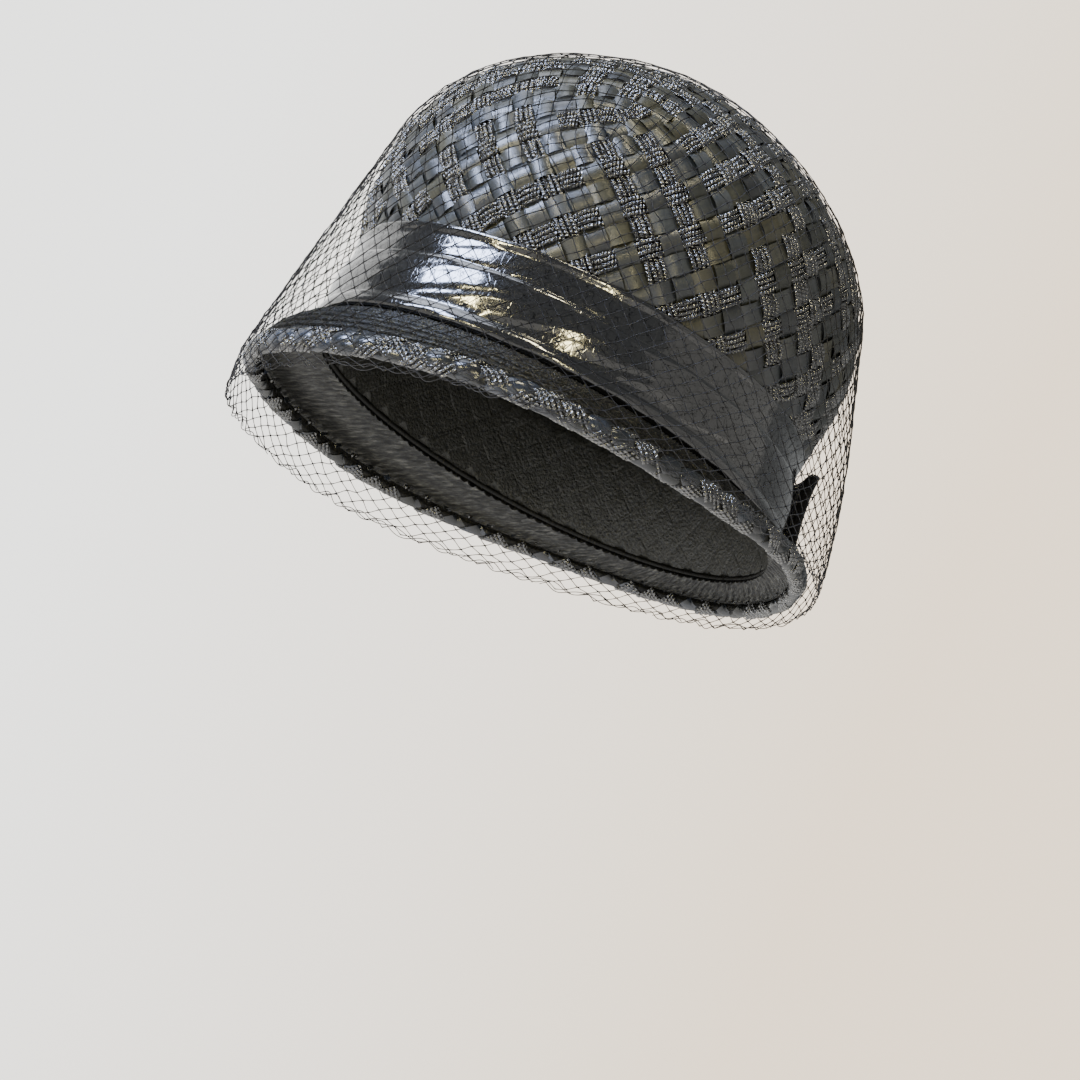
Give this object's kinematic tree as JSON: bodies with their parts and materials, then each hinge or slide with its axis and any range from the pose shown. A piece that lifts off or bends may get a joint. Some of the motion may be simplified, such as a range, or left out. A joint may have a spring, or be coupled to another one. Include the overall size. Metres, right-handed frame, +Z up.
{
  "type": "bubble hat with veil",
  "caption": "Black straw bubble hat: domed crown, short turned-down brim, pleated patent band with a flat back bow, and a net veil drawn over it.",
  "frame": {"origin": "middle of the head opening, at the seam between crown and brim, where the head comes in", "axes": "+Z up the crown, -Y to the wearer's front, +X to the wearer's left"},
  "size_m": [0.2132, 0.2314, 0.1837],
  "materials": {
    "straw": "black woven straw, satin strips and shiny cords",
    "facing": "black ribbed straw, dull",
    "patent": "black patent vinyl, high gloss",
    "velvet": "black velvet ribbon, matte",
    "net": "black nylon veiling, fine thread"
  },
  "bodies": {
    "root": {"crown": "straw", "brim": "straw", "brim_facing": "facing", "hatband": "patent", "bow_loop_left": "velvet", "bow_loop_right": "velvet", "bow_knot": "velvet", "veil": "net"}
  },
  "joints": []
}
